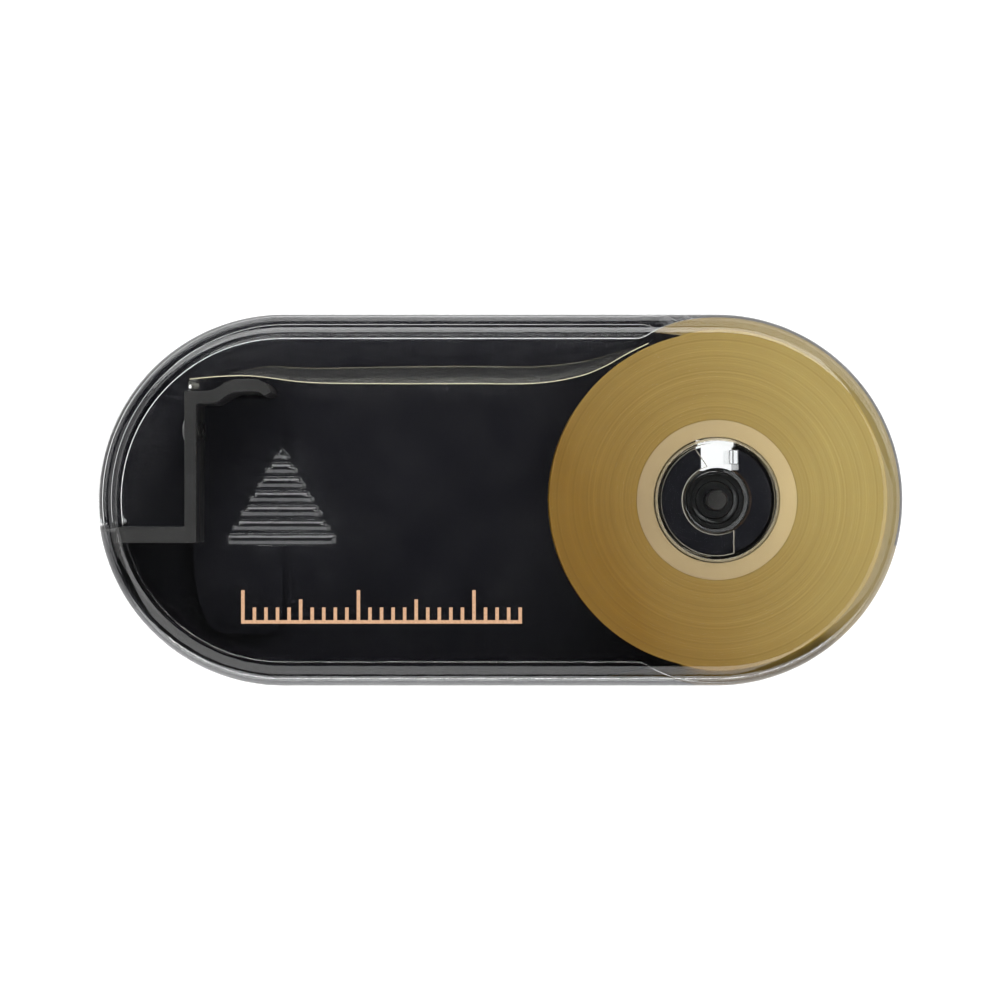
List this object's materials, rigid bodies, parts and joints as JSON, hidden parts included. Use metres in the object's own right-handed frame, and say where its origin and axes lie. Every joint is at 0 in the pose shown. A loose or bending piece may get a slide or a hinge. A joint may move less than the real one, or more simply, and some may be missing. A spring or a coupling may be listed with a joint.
{
  "type": "tape dispenser",
  "caption": "Pocket tape dispenser: slim stadium-shaped case whose clear cover swings up about the roll to bare a notch with a serrated blade.",
  "frame": {"origin": "centre of the case's outline, on its back face", "axes": "+X along the case towards the roll, +Y across it towards the side the cover swings to, +Z from the back face to the clear front"},
  "size_m": [0.07, 0.0322, 0.017],
  "materials": {
    "black_plastic": "satin black moulded plastic",
    "clear_plastic": "polished clear plastic",
    "blade_steel": "bright stainless strip",
    "dark_steel": "dark zinc-plated steel",
    "tape_gold": "wound translucent tape, honey coloured",
    "tape_film": "single layer of clear tape",
    "core_plastic": "beige core",
    "nylon": "natural nylon",
    "rubber": "matte",
    "copper_ink": "copper-coloured printed ink"
  },
  "bodies": {
    "base": {"rear_shell": "black_plastic", "cutter_frame": "black_plastic", "frame_screw_upper": "dark_steel", "frame_screw_lower": "dark_steel", "cutter_blade": "blade_steel", "blade_rivet_rear": "dark_steel", "blade_rivet_front": "dark_steel", "spool_hub": "black_plastic", "hub_screw_left": "dark_steel", "hub_screw_right": "dark_steel", "stop_pad": "clear_plastic", "slip_washer": "nylon", "friction_bush": "rubber", "pivot_washer": "blade_steel", "tape_leader": "tape_film"},
    "cover": {"front_cover": "clear_plastic", "measure_scale": "copper_ink", "hub_collar": "clear_plastic", "pivot_screw": "dark_steel"},
    "roll": {"tape_core": "core_plastic", "tape_roll": "tape_gold"}
  },
  "joints": [
    {"name": "cover_swing", "type": "hinge", "parent": "base", "child": "cover", "pos_m": [0.01885, 0, 0.008], "axis": [0, 0, -1], "range_deg": [0, 34]},
    {"name": "roll_spin", "type": "hinge", "parent": "base", "child": "roll", "pos_m": [0.01885, 0, 0.008], "axis": [0, 0, 1], "continuous": true}
  ]
}
